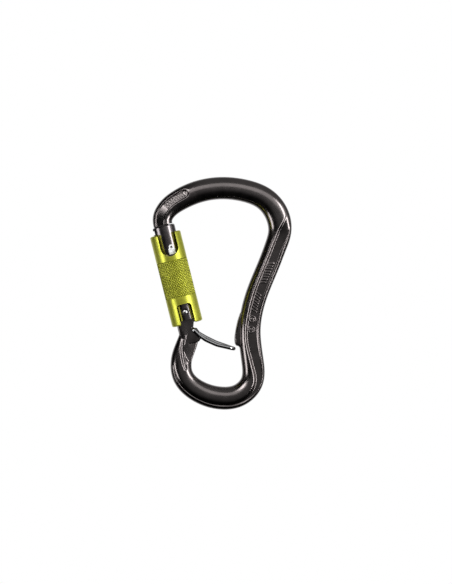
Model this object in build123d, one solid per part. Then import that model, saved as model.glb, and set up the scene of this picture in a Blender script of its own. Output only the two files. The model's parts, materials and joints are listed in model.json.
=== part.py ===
"""Locking belay carabiner: forged frame, sprung gate, three-action locking sleeve and wire keeper bar.

Millimetres. The row frame has its origin at the inner apex of the main basket, where the rope or sling
bears, at mid thickness. +Z points up the carabiner, +X towards the spine and +Y to the back face.
The gate's own frame has its origin on the hinge axis, +Z up the gate and +X into the carabiner.
"""

from build123d import *
import os
from math import atan2, cos, degrees, hypot, pi, radians, sin

# Overall size of the frame
frame_length = 116.0
frame_width = 70.0

# Stock of the forged frame
basket_stock = 11.2
edge_roundness = 2.3

# Gate
gate_diameter = 11.4
gate_foot = 4.0
gate_foot_radius = 5.2
gate_top_chamfer = 0.5
gate_opening = 25.0
gate_waist_depth = 1.1
gate_waist_low = 7.5
gate_waist_drop = 23.0

# Tongue of the frame, between the cheeks of the gate
tongue_thickness = 3.6
tongue_radius = 4.4
cam_rise = 1.0
tongue_side_gap = 0.2

# Hinge rivet
rivet_diameter = 2.5
rivet_head_diameter = 3.2
rivet_head_height = 0.9
rivet_sink = 1.3
rivet_sink_gap = 0.25

# Keylock nose, a hooked head concentric with the hinge
nose_gap = 0.6
nose_stem_width = 3.2
nose_head_width = 5.8
nose_head_height = 1.4
nose_lip = 1.1
nose_left = 4.4
nose_right = 2.6
nose_clearance = 0.28

# Plunger and gate spring, inside the gate
plunger_diameter = 4.4
plunger_length = 5.0
plunger_tip = 1.4
plunger_tip_diameter = 1.2
plunger_gap = 0.4
gate_spring_wire = 0.6
gate_spring_turns = 7
gate_spring_space = 9.5

# Locking sleeve
sleeve_wall = 1.15
sleeve_overhang = 6.1
sleeve_exposure = 3.9
sleeve_edge = 0.8
sleeve_spring_room = 0.9
sleeve_lift = 3.5
sleeve_twist = 90.0
upper_slot_width = 8.9
upper_slot_depth = 11.7
lower_slot_width = 7.4
lower_slot_top = 4.1
lower_slot_corner = 1.5
knurl_low = 8.0
knurl_drop = 17.9
knurl_sink = 0.15

# Inside the sleeve
clip_height = 8.4
clip_thickness = 0.9
clip_groove = 0.35
clip_waist_gap = 0.3
clip_opening = 50.0
washer_thickness = 1.0
sleeve_spring_wire = 0.9
sleeve_spring_turns = 4
guide_pin_diameter = 1.8
guide_pin_drop = 18.0
guide_pin_root = 3.2
guide_pin_reach = 1.05
guide_track_root = 4.0

# Neck of the frame, under the gate
neck_thickness = 6.8
shoulder_gap = 0.35

# Wire keeper bar
wire_diameter = 2.0
wire_hole_depth = 1.8
wire_bend = 1.3
wire_tip_bend = 3.0

# Stiffening fin on the spine, which stops the wire bar
fin_thickness = 5.0
fin_lip_bulge = 0.4

# Clearances
running_fit = 0.06
loose_fit = 0.15
side_gap = 0.3

# Centreline of the frame from the nose, over the basket, down the spine and round the small end.
# Each station is x, z, in-plane width, thickness, drawn on a 58.5 by 105 centreline and stretched.
STATIONS = [
    (-29.9, -13.9, 9.5, 9.0),
    (-30.2, -10.4, 9.8, 9.4),
    (-28.6, -6.6, 10.2, 9.8),
    (-21.7, -0.8, 11.0, 10.6),
    (-12.2, 3.35, 11.2, 11.0),
    (-0.5, 5.1, 11.2, 11.0),
    (11.2, 3.7, 11.3, 11.0),
    (20.7, -0.4, 11.6, 11.0),
    (26.8, -8.5, 12.0, 10.8),
    (28.0, -16.5, 11.6, 10.4),
    (25.9, -24.0, 11.1, 10.2),
    (22.8, -32.2, 11.0, 10.2),
    (16.4, -48.15, 11.0, 10.2),
    (13.0, -66.0, 11.0, 10.2),
    (14.4, -81.0, 11.2, 10.3),
    (14.0, -91.7, 11.3, 10.5),
    (7.7, -98.2, 11.4, 10.6),
    (-2.1, -99.5, 11.5, 10.6),
    (-12.4, -96.2, 11.1, 10.5),
    (-20.0, -88.7, 10.6, 10.3),
    (-20.6, -79.3, 10.5, 9.8),
    (-18.2, -72.4, 10.4, 8.6),
]
HINGE = (-19.3, -56.6)
FIN_OUTLINE = [(10.5, -54.0), (7.9, -58.0), (6.3, -64.0), (5.5, -70.0), (7.9, -73.6), (10.5, -79.0)]
NOSE_STATION = 0
TOP_STATION = 5

# The neck's stations, in the gate's frame: x, z, width and thickness
NECK = [(-0.5, -11.2, 9.8, 7.0), (-1.1, -3.0, 9.2, 6.8)]

# Long recess down both faces of the spine: station, inner wall, outer wall, floor from mid plane
SPINE_RECESS = [
    (8, 4.2, 7.4, 5.1),
    (9, -0.4, 4.4, 4.2),
    (10, -1.7, 3.5, 3.75),
    (11, -1.6, 3.4, 3.65),
    (12, -1.6, 3.4, 3.65),
    (13, -1.4, 3.4, 3.65),
    (14, 0.0, 3.8, 3.9),
    (15, 1.9, 4.8, 4.3),
    (16, 3.4, 6.0, 4.6),
    (17, 4.6, 7.2, 4.9),
]

# Recess on both faces of the nose arm
NOSE_RECESS = [
    (0, -1.2, 4.4, 3.2),
    (1, -1.3, 4.2, 3.4),
    (2, -1.2, 3.9, 3.7),
    (3, -0.8, 3.6, 4.2),
    (4, 0.6, 2.8, 5.7),
]


def stretch(x, z):
    """Place an outline point so that the frame has its overall width and length."""
    span_x = max(s[0] for s in STATIONS) - min(s[0] for s in STATIONS)
    top = STATIONS[TOP_STATION][1]
    span_z = top - min(s[1] for s in STATIONS)
    scale_x = (frame_width - basket_stock) / span_x
    scale_z = (frame_length - basket_stock) / span_z
    return x * scale_x, basket_stock / 2 + (z - top) * scale_z


hinge_x, hinge_z = stretch(*HINGE)
nose_x, nose_z = stretch(*STATIONS[NOSE_STATION][:2])
gate_tilt = degrees(atan2(hinge_x - nose_x, nose_z - hinge_z))
gate_length = hypot(hinge_x - nose_x, nose_z - hinge_z)
GATE_FRAME = Pos(hinge_x, 0, hinge_z) * Rot(0, -gate_tilt, 0)

# Places along the gate, worked out from the sizes above
gate_radius = gate_diameter / 2
waist_radius = gate_radius - gate_waist_depth
waist_top = gate_length - gate_waist_drop
sleeve_top = gate_length - sleeve_exposure
sleeve_guide_radius = gate_radius + running_fit
sleeve_lower_radius = gate_radius + sleeve_spring_room
sleeve_radius = sleeve_lower_radius + sleeve_wall
fork_top = tongue_radius + cam_rise + side_gap
fork_half_gap = tongue_thickness / 2 + tongue_side_gap
clip_top = clip_height + clip_thickness
washer_low = clip_top + running_fit
washer_top = washer_low + washer_thickness
plunger_low = tongue_radius + plunger_gap
plunger_top = plunger_low + plunger_length
bore_top = plunger_top + gate_spring_space
bore_radius = plunger_diameter / 2 + running_fit
guide_pin_height = gate_length - guide_pin_drop
guide_pin_tip = gate_radius + guide_pin_reach
wire_face = neck_thickness / 2 + side_gap + wire_diameter / 2


def gate_to_row(x, z):
    """Row-frame x and z of a point given in the gate's frame."""
    tilt = radians(gate_tilt)
    return hinge_x + x * cos(tilt) - z * sin(tilt), hinge_z + x * sin(tilt) + z * cos(tilt)


def centres():
    """Centre, width and thickness of every station, the neck's included."""
    places = [(*stretch(x, z), width, depth) for x, z, width, depth in STATIONS]
    return places + [(*gate_to_row(x, z), width, depth) for x, z, width, depth in NECK]


def station_axes(index):
    """Centre and outward normal of one station, square to the chord between its neighbours."""
    places = centres()
    before = places[max(index - 1, 0)]
    after = places[min(index + 1, len(places) - 1)]
    run_x, run_z = after[0] - before[0], after[1] - before[1]
    run = hypot(run_x, run_z)
    return places[index][:2], (-run_z / run, run_x / run)


def station_point(index, offset, y):
    """Point of a station's plane: offset outwards from the centreline, y through the thickness."""
    (x, z), (normal_x, normal_z) = station_axes(index)
    return Vector(x + offset * normal_x, y, z + offset * normal_z)


def rounded_power(value, power):
    """Signed power, for a section between an ellipse and a rounded rectangle."""
    return (1 if value >= 0 else -1) * abs(value) ** power


def stock_section(index):
    """Closed section of the forged stock at one station."""
    width, depth = centres()[index][2:]
    points = []
    for step in range(16):
        angle = 2 * pi * step / 16
        offset = width / 2 * rounded_power(cos(angle), 2 / edge_roundness)
        y = depth / 2 * rounded_power(sin(angle), 2 / edge_roundness)
        points.append(station_point(index, offset, y))
    return Wire([Edge.make_spline(points, periodic=True)])


def recess_cutter(stations):
    """Tapered channel that follows the frame; its floor rises out of the stock at its ends."""
    draft = 0.5
    clear = 8.0
    sections = []
    for index, inner, outer, floor in stations:
        spread = draft * (clear - floor)
        corners = [
            station_point(index, inner, -floor),
            station_point(index, outer, -floor),
            station_point(index, outer + spread, -clear),
            station_point(index, inner - spread, -clear),
        ]
        sections.append(Wire.make_polygon(corners, close=True))
    return Solid.make_loft(sections)


def plate(points, thickness):
    """Flat plate in the gate's frame: corners x, z, centred on the mid plane."""
    outline = Wire.make_polygon([Vector(x, 0, z) for x, z in points], close=True)
    return extrude(Face(outline), amount=thickness / 2, dir=(0, 1, 0), both=True)


def disc(radius, thickness, x=0.0, z=0.0):
    """Disc about an axis along Y, centred on the mid plane."""
    return Pos(x, 0, z) * Rot(90, 0, 0) * Cylinder(radius, thickness)


def ring(outer, inner, low, high):
    """Ring about the gate's axis."""
    middle = (low + high) / 2
    return Pos(0, 0, middle) * (Cylinder(outer, high - low) - Cylinder(inner, high - low + 1))


def make_neck():
    """Flat neck with the flared corner that shades the wire bar, in the gate's frame."""
    side = gate_radius
    points = [
        (side, -3.0),
        (side, -4.0),
        (4.9, -12.2),
        (5.1, -14.2),
        (1.9, -17.2),
        (0.0, -20.5),
        (-2.5, -22.5),
        (-4.0, -20.0),
        (-5.3, -12.0),
        (-5.3, -3.0),
    ]
    return chamfer(plate(points, neck_thickness).edges().filter_by(Axis.Y, reverse=True), 0.6)


def neck_cutter():
    """Room over the neck for the gate's foot, and beside it for the sleeve as the gate opens."""
    shoulder = gate_foot + shoulder_gap
    reach = 20.0
    top = plate([(-9, -shoulder), (9, -shoulder), (9, reach), (-9, reach)], reach)
    dip = disc(gate_foot_radius + side_gap, reach)
    beside = [(3.6, -shoulder), (2.1, -8.5), (3.8, -9.2), (4.5, -11.0), (5.2, -14.0), (12.0, -14.0), (12.0, -4.0)]
    prong_room = plate(beside, reach)
    return top + dip + prong_room


def sleeve_room():
    """What lies outside the sleeve's lower bore, over the height that the sleeve reaches down."""
    low = -sleeve_overhang - 0.9
    inside = sleeve_lower_radius - 0.5
    return ring(20, inside, low, tongue_radius + 2)


def make_tongue():
    """Tongue under the gate, with the cam that lifts the plunger as the gate opens."""
    lobe = tongue_radius + cam_rise
    turn = radians(gate_opening)
    past = radians(gate_opening + 12)
    middle = tongue_radius + cam_rise / 2
    points = [
        Vector(0, 0, tongue_radius),
        Vector(middle * sin(turn / 2), 0, middle * cos(turn / 2)),
        Vector(lobe * sin(turn), 0, lobe * cos(turn)),
    ]
    cam = Edge.make_three_point_arc(*points)
    nose = Edge.make_line(points[2], Vector(lobe * sin(past), 0, lobe * cos(past)))
    back = Edge.make_line(Vector(lobe * sin(past), 0, lobe * cos(past)), Vector(0, 0, 0))
    close = Edge.make_line(Vector(0, 0, 0), points[0])
    cam_face = Face(Wire([cam, nose, back, close]))
    cam_plate = extrude(cam_face, amount=tongue_thickness / 2, dir=(0, 1, 0), both=True)
    strip = plate([(-4.3, -9.0), (1.8, -9.0), (3.2, -4.5), (4.2, -1.0), (-4.3, -1.0)], tongue_thickness)
    return disc(tongue_radius, tongue_thickness) + cam_plate + strip


def nose_profile(gap, left, right):
    """Keylock stem and head with room round them, as arcs about the hinge axis."""
    outer = gate_length + nose_gap + 1.0
    lip_radius = gate_length - nose_lip
    head_top = lip_radius - nose_clearance + gap
    head_low = lip_radius - nose_clearance - nose_head_height - gap
    span = right + left
    box = Pos((right - left) / 2, 0, gate_length - 3) * Box(span, 20, 14)
    stem = disc(outer, nose_stem_width + 2 * gap) - disc(head_low + 0.1, 20)
    head = disc(head_top, nose_head_width + 2 * gap) - disc(head_low, 20)
    return (stem + head) & box


def nose_cutter():
    """Room under the nose for the gate's top."""
    room = disc(gate_length + nose_gap, 30)
    return room & (Pos(0, 0, gate_length - 6) * Box(24, 30, 22))


def make_fin():
    """Fin on the inner side of the spine, with the notch in which the wire bar rests."""
    corners = []
    for x, z in FIN_OUTLINE:
        place_x, place_z = stretch(x, z)
        corners.append(Vector(place_x, 0, place_z))
    peak, notch, foot = corners[-3:]
    inner = Edge.make_spline(corners[:-2])
    lip_middle = (peak + notch) / 2 + Vector(-fin_lip_bulge, 0, -fin_lip_bulge)
    lip = Edge.make_three_point_arc(peak, lip_middle, notch)
    lower = Edge.make_line(notch, foot)
    close = Edge.make_line(foot, corners[0])
    face = Face(Wire([inner, lip, lower, close]))
    return extrude(face, amount=fin_thickness / 2, dir=(0, 1, 0), both=True)


def wire_hole():
    """Hinge hole of the wire bar, in the row frame."""
    return gate_to_row(1.7, -9.2)


def swing_facet():
    """Flats on the inner side of the small end, past which the wire's legs swing."""
    x, z = wire_hole()
    points = [(x - 2.6, z), (x + 8, z + 6), (x + 10, z - 20), (x - 1.0, z - 18.5), (x - 2.4, z - 8)]
    outline = Wire.make_polygon([Vector(a, 0, b) for a, b in points], close=True)
    half = neck_thickness / 2
    slab = extrude(Face(outline), amount=9, dir=(0, 1, 0))
    back = Pos(0, half, 0) * slab
    return back + mirror(back, Plane.XZ)


def make_frame():
    """Forged frame with its recesses, neck, tongue, nose and wire holes."""
    sections = [stock_section(index) for index in range(len(centres()))]
    body = Part() + Solid.make_loft(sections)
    body = body + make_fin()
    body = body + GATE_FRAME * make_neck()
    for stations in (SPINE_RECESS, NOSE_RECESS):
        front = Part() + recess_cutter(stations)
        body = body - front - mirror(front, Plane.XZ)
    body = body - swing_facet()
    body = body - GATE_FRAME * neck_cutter() - GATE_FRAME * sleeve_room() - GATE_FRAME * nose_cutter()
    body = body + GATE_FRAME * nose_profile(0, nose_left, nose_right) + GATE_FRAME * make_tongue()
    body = body - GATE_FRAME * disc(rivet_diameter / 2 + running_fit, 20)
    x, z = wire_hole()
    hole_start = neck_thickness / 2 - wire_hole_depth
    hole = disc(wire_diameter / 2 + running_fit, 30, x, z) - disc(wire_diameter, 2 * hole_start, x, z)
    return body - hole


def make_gate():
    """Gate barrel: fork and foot below, waist for the sleeve spring, keylock slot on top."""
    length = gate_length + gate_foot
    barrel = Pos(0, 0, (gate_length - gate_foot) / 2) * Cylinder(gate_radius, length)
    barrel = chamfer(barrel.edges().group_by(Axis.Z)[-1], gate_top_chamfer)
    barrel = Part() + barrel
    barrel -= ring(gate_radius + 1, waist_radius, gate_waist_low, waist_top)
    reach = 30.0
    barrel -= Pos(0, 0, fork_top - reach / 2) * Box(reach, 2 * fork_half_gap, reach)
    bore_low = plunger_low - side_gap
    barrel -= Pos(0, 0, (bore_low + bore_top) / 2) * Cylinder(bore_radius, bore_top - bore_low)
    size = 2 * gate_foot_radius
    corner = Pos(size / 2, 0, -size / 2) * Box(size, reach, size)
    barrel -= corner - disc(gate_foot_radius, reach)
    slot = nose_profile(nose_clearance, gate_radius + 5, nose_right + nose_clearance)
    barrel -= slot
    barrel -= disc(rivet_diameter / 2, reach)
    for side in (-1, 1):
        sink = Pos(0, side * (gate_radius - rivet_sink + 2), 0) * Rot(90, 0, 0)
        barrel -= sink * Cylinder(rivet_head_diameter / 2 + rivet_sink_gap, 4)
    pin = Pos(0, guide_pin_root + 5, guide_pin_height) * Rot(90, 0, 0)
    return barrel - pin * Cylinder(guide_pin_diameter / 2, 10)


def make_rivet():
    """Hinge rivet with a domed head in each cheek's counterbore."""
    seat = gate_radius - rivet_sink
    shank = disc(rivet_diameter / 2, 2 * seat)
    head_radius = rivet_head_diameter / 2
    sphere_radius = (head_radius**2 + rivet_head_height**2) / (2 * rivet_head_height)
    for side in (-1, 1):
        centre = side * (seat + rivet_head_height - sphere_radius)
        keep = Pos(0, side * (seat + 2), 0) * Box(8, 4, 8)
        shank += (Pos(0, centre, 0) * Sphere(sphere_radius)) & keep
    return shank


def make_plunger():
    """Plunger that the gate spring presses on the cam, with a tapered tip."""
    radius = plunger_diameter / 2
    body_low = plunger_low + plunger_tip
    body = Pos(0, 0, (body_low + plunger_top) / 2) * Cylinder(radius, plunger_top - body_low)
    tip = Pos(0, 0, plunger_low + plunger_tip / 2) * Cone(plunger_tip_diameter / 2, radius, plunger_tip)
    return body + tip


def coil(radius, wire, low, high, turns):
    """Helical spring about the gate's axis whose wire lies between two heights."""
    rise = high - low - wire
    path = Helix(rise / turns, rise, radius)
    section = Plane(origin=path @ 0, z_dir=path % 0) * Circle(wire / 2)
    return Pos(0, 0, low + wire / 2) * sweep(section, path=path, is_frenet=True)


def make_gate_spring():
    """Compression spring between the plunger and the end of the gate's bore."""
    radius = (bore_radius - loose_fit) - gate_spring_wire / 2
    return coil(radius, gate_spring_wire, plunger_top + 0.05, bore_top - 0.05, gate_spring_turns)


def make_sleeve_spring():
    """Spring round the gate's waist that holds the sleeve down."""
    radius = (waist_radius + sleeve_lower_radius) / 2
    return coil(radius, sleeve_spring_wire, washer_top + 0.05, waist_top - 0.05, sleeve_spring_turns)


def guide_track():
    """Helical track in the sleeve for the guide pin: it lifts as it twists."""
    half = guide_pin_diameter / 2 + loose_fit
    depth = guide_pin_tip + loose_fit
    radius = (depth + guide_track_root) / 2
    end_room = degrees(half / radius)
    share = (sleeve_twist + 2 * end_room) / sleeve_twist
    path = Helix(sleeve_lift * 360 / sleeve_twist, sleeve_lift * share, radius)
    mouth = Plane(origin=path @ 0, x_dir=(1, 0, 0), z_dir=path % 0)
    section = mouth * Rectangle(depth - guide_track_root, 2 * half)
    low = guide_pin_height - sleeve_lift * (1 + end_room / sleeve_twist)
    return Pos(0, 0, low) * Rot(0, 0, -end_room) * sweep(section, path=path, is_frenet=True)


def sleeve_slots():
    """Slots in the front and back of the sleeve, at both ends."""
    reach = 30.0
    radius = upper_slot_width / 2
    upper_centre = sleeve_top - upper_slot_depth + radius
    upper = Pos(0, 0, upper_centre + reach / 2) * Box(upper_slot_width, reach, reach)
    upper += disc(radius, reach, 0, upper_centre)
    corner = lower_slot_corner
    half = lower_slot_width / 2
    lower = Pos(0, 0, lower_slot_top - corner - reach / 2) * Box(lower_slot_width, reach, reach)
    lower += Pos(0, 0, lower_slot_top - reach / 2) * Box(lower_slot_width - 2 * corner, reach, reach)
    for side in (-1, 1):
        lower += disc(corner, reach, side * (half - corner), lower_slot_top - corner)
    return upper + lower


def make_sleeve():
    """Locking sleeve: slotted tube with a grip band, a clip groove and the guide track."""
    length = sleeve_top + sleeve_overhang
    middle = (sleeve_top - sleeve_overhang) / 2
    tube = Pos(0, 0, middle) * Cylinder(sleeve_radius, length)
    tube = Part() + fillet(tube.edges(), sleeve_edge)
    tube -= Pos(0, 0, middle) * Cylinder(sleeve_guide_radius, length + 2)
    tube -= ring(sleeve_lower_radius, sleeve_guide_radius - 1, -sleeve_overhang - 1, waist_top)
    tube -= ring(sleeve_lower_radius + clip_groove, sleeve_guide_radius, clip_height, clip_top)
    tube -= ring(sleeve_radius + 1, sleeve_radius - knurl_sink, knurl_low, gate_length - knurl_drop)
    return tube - guide_track() - sleeve_slots()


def make_clip():
    """Open retaining ring seated in the sleeve's groove."""
    whole = ring(sleeve_lower_radius + clip_groove, waist_radius + clip_waist_gap, clip_height, clip_top)
    reach = 2 * sleeve_lower_radius
    mouth_width = 2 * sleeve_lower_radius * sin(radians(clip_opening / 2))
    return whole - Pos(reach / 2, 0, clip_height) * Box(reach, mouth_width, reach)


def make_washer():
    """Thrust washer between the sleeve spring and the retaining ring."""
    return ring(sleeve_lower_radius - loose_fit, waist_radius + loose_fit, washer_low, washer_top)


def make_guide_pin():
    """Pin pressed into the back of the gate, whose end runs in the sleeve's track."""
    middle = (guide_pin_root + guide_pin_tip) / 2
    length = guide_pin_tip - guide_pin_root
    return Pos(0, middle, guide_pin_height) * Rot(90, 0, 0) * Cylinder(guide_pin_diameter / 2, length)


def make_wire_bar():
    """Wire keeper bar: two legs from the neck's holes, joined across under the fin."""
    hole_x, hole_z = wire_hole()
    tip_x, tip_z = stretch(4.9, -74.9)
    pin_end = neck_thickness / 2 - wire_hole_depth + loose_fit
    run_x, run_z = tip_x - hole_x, tip_z - hole_z
    run = hypot(run_x, run_z)

    def leg_point(share, sag, y):
        across_x, across_z = run_z / run, -run_x / run
        return (hole_x + share * run_x + sag * across_x, y, hole_z + share * run_z + sag * across_z)

    front = [leg_point(share, sag, -wire_face) for share, sag in ((0.18, 1.45), (0.36, 2.1), (0.62, 1.95))]
    back = [leg_point(share, sag, wire_face) for share, sag in ((0.62, 0.95), (0.36, 0.9), (0.18, 0.55))]
    start = [(hole_x, -pin_end, hole_z), (hole_x, -wire_face, hole_z)]
    tip = [(tip_x, -wire_face, tip_z), (tip_x, wire_face, tip_z)]
    end = [(hole_x, wire_face, hole_z), (hole_x, pin_end, hole_z)]
    route = start + front + tip + back + end
    radii = [wire_bend, 8, 10, 12, wire_tip_bend, wire_tip_bend, 12, 10, 8, wire_bend]
    path = FilletPolyline(*route, radius=radii)
    section = Plane(origin=route[0], z_dir=(0, -1, 0)) * Circle(wire_diameter / 2)
    return sweep(section, path=path)


def write_parts():
    """Write every piece as a STEP file named after its node."""
    pieces = {
        "frame": make_frame(),
        "gate": GATE_FRAME * make_gate(),
        "hinge_rivet": GATE_FRAME * make_rivet(),
        "gate_plunger": GATE_FRAME * make_plunger(),
        "gate_spring": GATE_FRAME * make_gate_spring(),
        "locking_sleeve": GATE_FRAME * make_sleeve(),
        "sleeve_retaining_ring": GATE_FRAME * make_clip(),
        "spring_washer": GATE_FRAME * make_washer(),
        "sleeve_spring": GATE_FRAME * make_sleeve_spring(),
        "guide_pin": GATE_FRAME * make_guide_pin(),
        "wire_bar": make_wire_bar(),
    }
    os.makedirs("parts", exist_ok=True)
    for name, piece in pieces.items():
        export_step(piece, f"parts/{name}.step")
    print("gate length", round(gate_length, 3), "tilt", round(gate_tilt, 3))
    print("hinge", round(hinge_x, 3), round(hinge_z, 3), "wire hole", wire_hole())


write_parts()
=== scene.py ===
"""Looks of the locking carabiner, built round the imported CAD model.

Shapes are in millimetres, in the CAD's frame or the gate's, and MM turns them into the frame's metres. The
gate's frame has its origin on the hinge axis, +Z up the gate and +X into the carabiner. Along the forged
frame, s is the distance from the nose on its centreline and n the distance outwards from that line.
"""

import json
from math import atan2, cos, hypot, pi, radians, sin

import bmesh
import bpy
import numpy as np
from mathutils import Matrix, Vector


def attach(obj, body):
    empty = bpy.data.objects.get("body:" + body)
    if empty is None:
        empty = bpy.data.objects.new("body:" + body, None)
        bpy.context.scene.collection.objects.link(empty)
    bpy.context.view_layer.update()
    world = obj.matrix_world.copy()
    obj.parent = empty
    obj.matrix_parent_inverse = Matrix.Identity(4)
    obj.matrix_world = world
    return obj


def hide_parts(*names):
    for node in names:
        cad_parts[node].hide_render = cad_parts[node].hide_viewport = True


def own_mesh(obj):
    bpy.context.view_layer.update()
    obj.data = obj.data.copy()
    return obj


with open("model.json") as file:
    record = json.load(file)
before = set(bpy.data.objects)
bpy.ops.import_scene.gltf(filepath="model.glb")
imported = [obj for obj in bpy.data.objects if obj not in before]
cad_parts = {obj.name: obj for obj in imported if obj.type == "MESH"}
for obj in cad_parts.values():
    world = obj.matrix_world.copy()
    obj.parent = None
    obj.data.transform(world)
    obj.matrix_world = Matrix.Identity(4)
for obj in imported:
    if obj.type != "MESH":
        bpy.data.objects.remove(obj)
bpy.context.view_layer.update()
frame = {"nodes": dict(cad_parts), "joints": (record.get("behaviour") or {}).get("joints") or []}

MM = 0.001
hinge_joint = next(j for j in frame["joints"] if j["name"] == "gate_hinge")
twist_joint = next(j for j in frame["joints"] if j["name"] == "sleeve_twist")
HINGE = Vector(hinge_joint["pos_m"])
GATE_UP = Vector(twist_joint["axis"])
TILT = atan2(-GATE_UP.x, GATE_UP.z)
GATE_FRAME = Matrix.Translation(HINGE) @ Matrix.Rotation(-TILT, 4, "Y")

# Overall size of the forged frame, and its stock
FRAME_SIZE = (70.0, 116.0)
BASKET_STOCK = 11.2
EDGE_ROUNDNESS = 2.3

# Centreline of the forged frame, as the CAD has it: x, z, width, thickness
STATIONS = np.array([
    (-29.9, -13.9, 9.5, 9.0),
    (-30.2, -10.4, 9.8, 9.4),
    (-28.6, -6.6, 10.2, 9.8),
    (-21.7, -0.8, 11.0, 10.6),
    (-12.2, 3.35, 11.2, 11.0),
    (-0.5, 5.1, 11.2, 11.0),
    (11.2, 3.7, 11.3, 11.0),
    (20.7, -0.4, 11.6, 11.0),
    (26.8, -8.5, 12.0, 10.8),
    (28.0, -16.5, 11.6, 10.4),
    (25.9, -24.0, 11.1, 10.2),
    (22.8, -32.2, 11.0, 10.2),
    (16.4, -48.15, 11.0, 10.2),
    (13.0, -66.0, 11.0, 10.2),
    (14.4, -81.0, 11.2, 10.3),
    (14.0, -91.7, 11.3, 10.5),
    (7.7, -98.2, 11.4, 10.6),
    (-2.1, -99.5, 11.5, 10.6),
    (-12.4, -96.2, 11.1, 10.5),
    (-20.0, -88.7, 10.6, 10.3),
    (-20.6, -79.3, 10.5, 9.8),
    (-18.2, -72.4, 10.4, 8.6),
])
APEX_STATION = 5

# Its last two stations, in the gate's frame
NECK_STATIONS = [(-0.5, -11.2, 9.8, 7.0), (-1.1, -3.0, 9.2, 6.8)]

# Mesh of the forged frame: rows along it, closer under the raised marks, and points round it
PLAIN_STEP = 0.34
MARKED_STEP = 0.14
MARKED_SPANS = ((8.8, 21.2), (96.2, 134.0))
CENTRELINE_SAMPLES = 6000
POINTS_ROUND = 216
CORNER_CROWDING = 0.08

# Long recess down the spine: the n of its two edges and its floor's height at each s. A feature fades out
# by being lifted clear of the face between the two s of its start or its end.
SPINE_INNER = [
    (71.0, 4.6), (74.5, 2.0), (78.0, -0.6), (82.8, -1.9), (90.0, -2.2), (110.0, -2.2), (128.0, -2.2),
    (138.0, -2.5), (146.0, -1.6), (152.0, -0.7), (157.0, 0.6), (164.0, 1.7), (172.0, 2.5), (190.0, 2.9),
    (202.0, 3.0), (210.0, 4.6), (216.0, 6.4),
]
SPINE_OUTER = [
    (71.0, 8.0), (77.0, 5.8), (81.5, 4.6), (86.0, 4.1), (96.0, 4.1), (140.0, 4.2), (150.0, 4.6),
    (157.0, 4.9), (166.0, 4.6), (176.0, 4.3), (200.0, 4.2), (208.0, 5.2), (216.0, 7.2),
]
SPINE_FLOOR = [
    (71.0, 5.3), (76.0, 4.7), (80.0, 3.9), (86.0, 3.4), (96.0, 3.3), (140.0, 3.3), (150.0, 3.4),
    (158.0, 3.6), (168.0, 3.7), (180.0, 3.5), (200.0, 3.4), (210.0, 3.8), (216.0, 4.2),
]
SPINE_START = (70.0, 74.0)
SPINE_END = (212.0, 216.0)
SPINE_LIFT = 4.0
SPINE_FOOT = 0.9
SPINE_FOOT_ROUND = 0.5
SPINE_RIM_ROUND = 1.3
WALL_SLOPE = 1.6

# Plain marks raised in that recess: rows of dashes by first s, last s and lean, then two double rings
DASH_ROWS = ((97.0, 108.0, 0.9), (113.5, 122.5, -0.9))
DASH_PITCH = 1.45
DASH_SPAN = (-0.5, 1.9)
DASH_EDGE = (0.20, 0.42)
DASH_TIP_OUT = 0.2
DASH_TIP_IN = 0.1
RING_PLACES = (126.6, 131.9)
RING_N = 0.45
RING_LINES = ((1.45, 0.34), (0.35, 0.4))
RING_EDGE = (0.5, 1.1)
MARK_HEIGHT = 0.3

# Sunk badge at the nose, its raised pad, and the dashes on the pad; regions are low s, high s, low n, high n
BADGE_REGION = (-12.0, 21.9, -0.9, 3.7)
BADGE_CORNER = 2.2
BADGE_FLOOR = [(0.0, 3.1), (4.0, 3.3), (9.0, 3.65), (16.0, 4.0), (24.0, 4.35)]
BADGE_TILT = 0.34
BADGE_LEVEL_N = 1.4
BADGE_END = (26.0, 30.0)
BADGE_LIFT = 5.0
BADGE_FOOT = 0.55
BADGE_FOOT_ROUND = 0.2
BADGE_RIM_ROUND = 0.5
PAD_REGION = (9.2, 20.9, -0.1, 3.0)
PAD_CORNER = 0.9
PAD_RISE = 0.28
PAD_EDGE = (-0.15, 0.12)
PAD_SINK = 0.16
PAD_INSIDE = (-0.55, -0.3)
PAD_DASHES = (10.4, 19.8, 0.7)
PAD_DASH_PITCH = 1.25
PAD_DASH_SPAN = (0.75, 2.2)

# Groove at the small end, with a round end, and the flat facet inside the small end
GROOVE_MIDDLE = [(200.5, -2.6), (204.5, -2.0), (209.5, -0.5), (213.3, 1.2), (217.0, 2.4), (221.5, 3.7)]
GROOVE_FLOOR = [(200.5, 5.0), (205.0, 4.2), (210.0, 3.6), (215.0, 3.1), (221.5, 2.9)]
GROOVE_START = (199.0, 203.5)
GROOVE_END_S = 220.2
GROOVE_LIFT = 6.0
GROOVE_HALF = 0.5
GROOVE_SLOPE = 1.3
GROOVE_FOOT_ROUND = 0.6
GROOVE_RIM_ROUND = 0.55
FACET_EDGE = [(206.0, -5.2), (209.5, -2.1), (212.6, 0.1), (215.0, 0.9), (219.0, 1.4), (226.0, 1.8)]
FACET_START = (205.0, 208.0)
FACET_LIFT = 6.0
FACET_HEIGHT = 3.4
FACET_FOLD_N = -0.5
FACET_TILT = 0.25
FACET_SLOPE = 1.5
FACET_RIM_ROUND = 0.2

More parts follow.
